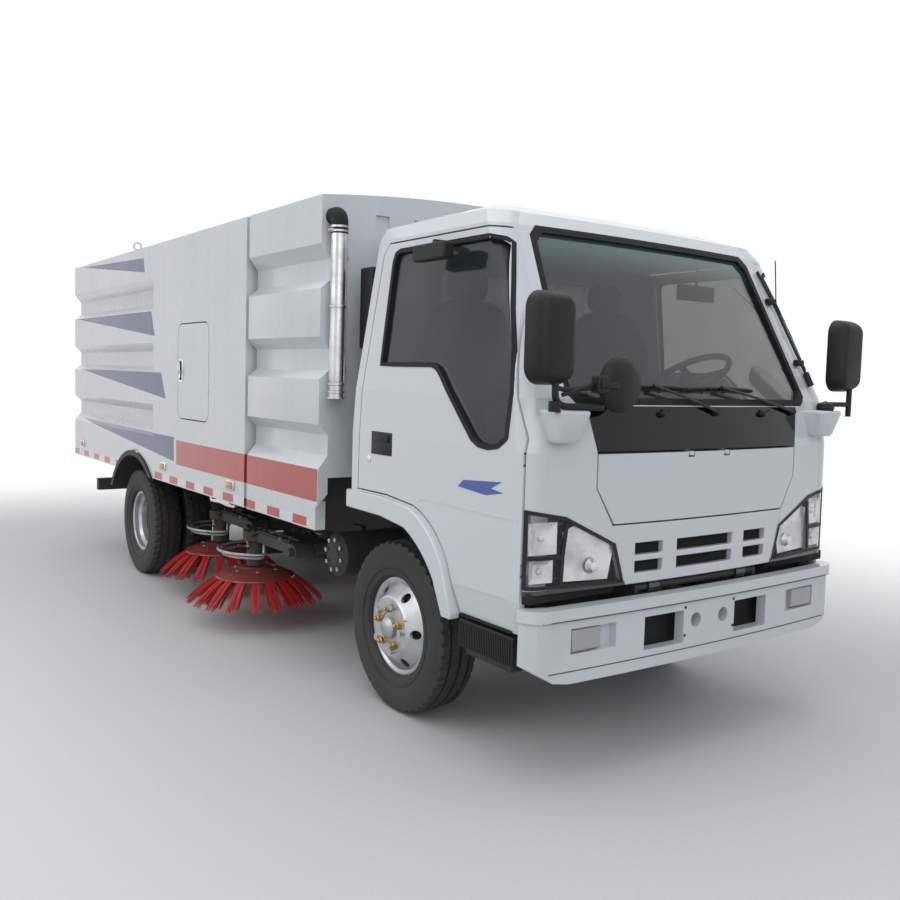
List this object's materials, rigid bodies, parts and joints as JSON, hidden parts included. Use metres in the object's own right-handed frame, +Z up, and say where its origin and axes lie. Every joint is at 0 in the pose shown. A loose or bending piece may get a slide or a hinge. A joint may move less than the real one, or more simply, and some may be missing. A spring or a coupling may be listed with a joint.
{
  "type": "street sweeper truck",
  "caption": "Cab-over light truck with a boxed sweeping body: ribbed hopper, side brushes on trailing arms, suction nozzle, tilting cab and twin rear wheels.",
  "frame": {"origin": "on the ground under the middle of the whole vehicle", "axes": "+X to the vehicle's left, +Y to its rear, +Z up; the cab faces -Y"},
  "size_m": [2.31, 6.0106, 2.3995],
  "materials": {
    "white_paint": "gloss",
    "body_paint": "gloss",
    "frame_black": "satin",
    "axle_iron": "matt",
    "spring_steel": "matt",
    "wheel_silver": "satin",
    "tyre": "matt",
    "glass_clear": "clear",
    "lamp_glass": "clear lens over a reflector",
    "black_gloss": "gloss",
    "black_plastic": "grained",
    "rubber_black": "matt",
    "interior_grey": "grained",
    "seat_fabric": "woven",
    "galvanised": "dull",
    "brush_red": "satin",
    "lamp_red": "clear lens"
  },
  "bodies": {
    "chassis": {"chassis_frame": "frame_black", "front_axle_beam": "axle_iron", "leaf_springs": "spring_steel", "rear_axle": "axle_iron", "drive_shaft": "axle_iron", "engine_block": "axle_iron", "tanks": "frame_black", "front_bumper": "white_paint", "bumper_lamps": "lamp_glass", "power_module": "body_paint", "auxiliary_engine": "axle_iron", "rear_mudguards": "frame_black", "intake_pipe": "galvanised", "rear_guard_bar": "frame_black", "tail_lamps": "lamp_red", "suction_duct": "frame_black"},
    "cab": {"cab_shell": "white_paint", "cab_glass": "glass_clear", "windscreen_seal": "rubber_black", "garnish_panel": "black_gloss", "headlamps": "lamp_glass", "grille_panel": "white_paint", "wheel_arch_trims": "white_paint", "cab_steps": "black_plastic", "dashboard": "interior_grey", "seats": "seat_fabric", "mirrors": "black_plastic", "air_intake_duct": "black_plastic"},
    "door_right": {"door_right": "white_paint", "door_fittings_right": "black_plastic", "door_glass_right": "glass_clear"},
    "door_left": {"door_left": "white_paint", "door_fittings_left": "black_plastic", "door_glass_left": "glass_clear"},
    "front_lid": {"front_lid": "white_paint"},
    "steering_wheel": {"steering_wheel": "interior_grey"},
    "knuckle_right": {"knuckle_right": "axle_iron"},
    "knuckle_left": {"knuckle_left": "axle_iron"},
    "tie_rod": {"tie_rod": "axle_iron"},
    "wheel_front_right": {"rim_front_right": "wheel_silver", "tyre_front_right": "tyre"},
    "wheel_front_left": {"rim_front_left": "wheel_silver", "tyre_front_left": "tyre"},
    "wheels_rear_right": {"rims_rear_right": "wheel_silver", "tyres_rear_right": "tyre"},
    "wheels_rear_left": {"rims_rear_left": "wheel_silver", "tyres_rear_left": "tyre"},
    "hopper": {"hopper_shell": "body_paint"},
    "tailgate": {"tailgate": "body_paint"},
    "hatch_right": {"side_hatch_right": "body_paint"},
    "hatch_left": {"side_hatch_left": "body_paint"},
    "suction_nozzle": {"suction_nozzle": "frame_black"},
    "brush_arm_front_right": {"brush_arm_front_right": "frame_black"},
    "brush_front_right": {"brush_front_right": "brush_red"},
    "brush_arm_front_left": {"brush_arm_front_left": "frame_black"},
    "brush_front_left": {"brush_front_left": "brush_red"},
    "brush_arm_rear_right": {"brush_arm_rear_right": "frame_black"},
    "brush_rear_right": {"brush_rear_right": "brush_red"},
    "brush_arm_rear_left": {"brush_arm_rear_left": "frame_black"},
    "brush_rear_left": {"brush_rear_left": "brush_red"}
  },
  "joints": [
    {"name": "cab_tilt", "type": "hinge", "parent": "chassis", "child": "cab", "pos_m": [0, -2.8925, 0.7], "axis": [1, 0, 0], "range_deg": [0, 40]},
    {"name": "door_right_hinge", "type": "hinge", "parent": "cab", "child": "door_right", "pos_m": [-0.90816, -2.84948, 1], "axis": [0, 0, 1], "range_deg": [0, 65]},
    {"name": "door_left_hinge", "type": "hinge", "parent": "cab", "child": "door_left", "pos_m": [0.90816, -2.84948, 1], "axis": [0, 0, -1], "range_deg": [0, 65]},
    {"name": "front_lid_hinge", "type": "hinge", "parent": "cab", "child": "front_lid", "pos_m": [0, -2.9355, 1.222], "axis": [-1, 0, 0], "range_deg": [0, 70]},
    {"name": "steering_wheel_turn", "type": "hinge", "parent": "cab", "child": "steering_wheel", "pos_m": [0.4464, -2.4345, 1.5158], "axis": [0, 0.5299, 0.848], "range_deg": [-540, 540]},
    {"name": "steer_right", "type": "hinge", "parent": "chassis", "child": "knuckle_right", "pos_m": [-0.64, -1.9275, 0.382], "axis": [0, 0, 1], "range_deg": [-35, 35]},
    {"name": "steer_left", "type": "hinge", "parent": "chassis", "child": "knuckle_left", "pos_m": [0.64, -1.9275, 0.382], "axis": [0, 0, 1], "range_deg": [-35, 35]},
    {"name": "tie_rod_eye", "type": "hinge", "parent": "knuckle_right", "child": "tie_rod", "pos_m": [-0.64, -1.7525, 0.34], "axis": [0, 0, 1], "range_deg": [-35, 35]},
    {"name": "roll_front_right", "type": "hinge", "parent": "knuckle_right", "child": "wheel_front_right", "pos_m": [-0.752, -1.9275, 0.382], "axis": [1, 0, 0], "continuous": true},
    {"name": "roll_front_left", "type": "hinge", "parent": "knuckle_left", "child": "wheel_front_left", "pos_m": [0.752, -1.9275, 0.382], "axis": [1, 0, 0], "continuous": true},
    {"name": "roll_rear_right", "type": "hinge", "parent": "chassis", "child": "wheels_rear_right", "pos_m": [-0.72, 1.4325, 0.382], "axis": [1, 0, 0], "continuous": true},
    {"name": "roll_rear_left", "type": "hinge", "parent": "chassis", "child": "wheels_rear_left", "pos_m": [0.72, 1.4325, 0.382], "axis": [1, 0, 0], "continuous": true},
    {"name": "brush_lift_front_right", "type": "hinge", "parent": "chassis", "child": "brush_arm_front_right", "pos_m": [-0.74, -0.8075, 0.52], "axis": [-1, 0, 0], "range_deg": [0, 7]},
    {"name": "brush_spin_front_right", "type": "hinge", "parent": "brush_arm_front_right", "child": "brush_front_right", "pos_m": [-0.74, -0.2075, 0.33], "axis": [0, 0, 1], "continuous": true},
    {"name": "brush_lift_front_left", "type": "hinge", "parent": "chassis", "child": "brush_arm_front_left", "pos_m": [0.74, -0.8075, 0.52], "axis": [-1, 0, 0], "range_deg": [0, 7]},
    {"name": "brush_spin_front_left", "type": "hinge", "parent": "brush_arm_front_left", "child": "brush_front_left", "pos_m": [0.74, -0.2075, 0.33], "axis": [0, 0, 1], "continuous": true},
    {"name": "brush_lift_rear_right", "type": "hinge", "parent": "chassis", "child": "brush_arm_rear_right", "pos_m": [-0.62, 0.0325, 0.52], "axis": [-1, 0, 0], "range_deg": [0, 7]},
    {"name": "brush_spin_rear_right", "type": "hinge", "parent": "brush_arm_rear_right", "child": "brush_rear_right", "pos_m": [-0.62, 0.6325, 0.33], "axis": [0, 0, 1], "continuous": true},
    {"name": "brush_lift_rear_left", "type": "hinge", "parent": "chassis", "child": "brush_arm_rear_left", "pos_m": [0.62, 0.0325, 0.52], "axis": [-1, 0, 0], "range_deg": [0, 7]},
    {"name": "brush_spin_rear_left", "type": "hinge", "parent": "brush_arm_rear_left", "child": "brush_rear_left", "pos_m": [0.62, 0.6325, 0.33], "axis": [0, 0, 1], "continuous": true},
    {"name": "nozzle_lift", "type": "slide", "parent": "chassis", "child": "suction_nozzle", "axis": [0, 0, -1], "range_m": [0, 0.1]},
    {"name": "hopper_tip", "type": "hinge", "parent": "chassis", "child": "hopper", "pos_m": [0, 2.6725, 0.84], "axis": [-1, 0, 0], "range_deg": [0, 45]},
    {"name": "tailgate_hinge", "type": "hinge", "parent": "hopper", "child": "tailgate", "pos_m": [0, 3.0015, 2.262], "axis": [1, 0, 0], "range_deg": [0, 80]},
    {"name": "hatch_right_hinge", "type": "hinge", "parent": "hopper", "child": "hatch_right", "pos_m": [-0.9844, -0.0555, 1.483], "axis": [0, 0, 1], "range_deg": [0, 65]},
    {"name": "hatch_left_hinge", "type": "hinge", "parent": "hopper", "child": "hatch_left", "pos_m": [0.9844, -0.0555, 1.483], "axis": [0, 0, -1], "range_deg": [0, 65]}
  ],
  "couplings": [
    {"joint": "steer_left", "follows": "steer_right", "ratio": 1},
    {"joint": "tie_rod_eye", "follows": "steer_right", "ratio": -1},
    {"joint": "steering_wheel_turn", "follows": "steer_right", "ratio": 15}
  ]
}
